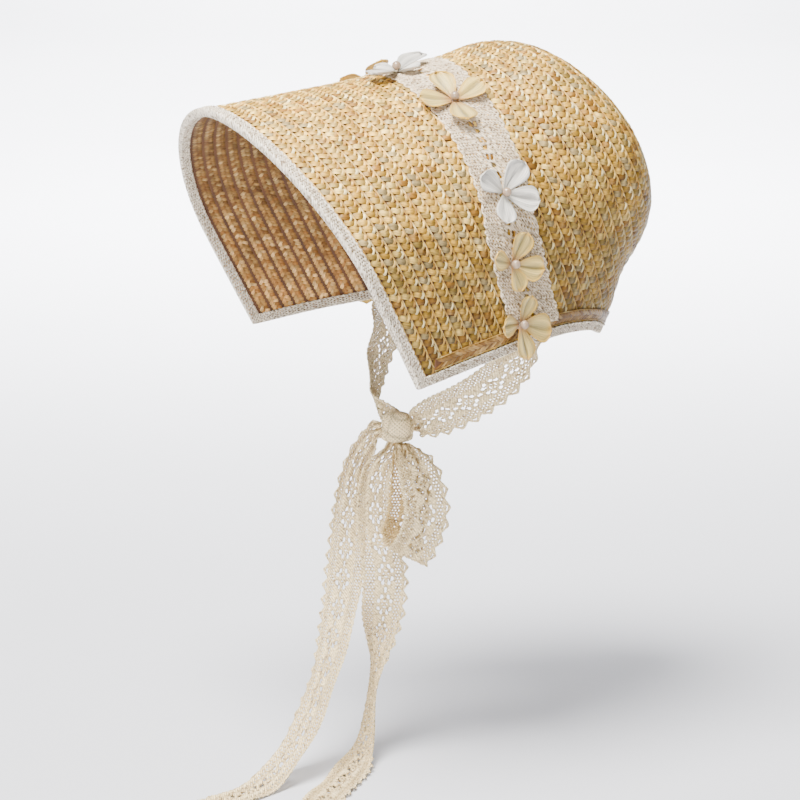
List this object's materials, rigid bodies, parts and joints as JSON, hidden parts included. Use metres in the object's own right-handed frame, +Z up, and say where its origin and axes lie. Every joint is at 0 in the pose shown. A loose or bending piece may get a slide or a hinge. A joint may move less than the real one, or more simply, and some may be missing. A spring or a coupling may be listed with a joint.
{
  "type": "straw bonnet",
  "caption": "Poke bonnet of sewn straw braid with a deep brim, lace band and edging, cloth flowers with pearl centres, and a lace tie knotted under the chin.",
  "frame": {"origin": "the place on the wearer's head under the ridge of the crown, just inside the straw beneath the lace band", "axes": "+X to the wearer's left, -Y out of the face opening, +Z up, with the bonnet in its worn position"},
  "size_m": [0.2742, 0.3728, 0.4987],
  "materials": {
    "straw": "sewn golden wheat straw braid, satin sheen",
    "straw_hem": "one straw braid laid along the hem",
    "lace": "unbleached cotton lace, matte",
    "lace_band": "pale cotton lace band, matte",
    "flower_yellow": "pressed cloth petals, pale gold",
    "flower_white": "pressed cloth petals, white",
    "pearl": "pearl coating"
  },
  "bodies": {
    "root": {"brim": "straw", "crown": "straw", "hem_braid": "straw_hem", "edge_binding": "lace", "lace_band": "lace_band", "bow_knot": "lace", "chin_tie_near": "lace", "chin_tie_far": "lace", "bow_loop": "lace", "tail_near": "lace", "tail_front": "lace", "flower_1": "flower_yellow", "pearl_1": "pearl", "flower_2": "flower_yellow", "pearl_2": "pearl", "flower_3": "flower_white", "pearl_3": "pearl", "flower_4": "flower_yellow", "pearl_4": "pearl", "flower_5": "flower_white", "pearl_5": "pearl", "flower_6": "flower_yellow", "pearl_6": "pearl", "flower_7": "flower_white", "pearl_7": "pearl", "flower_8": "flower_yellow", "pearl_8": "pearl", "flower_9": "flower_yellow", "pearl_9": "pearl"}
  },
  "joints": []
}
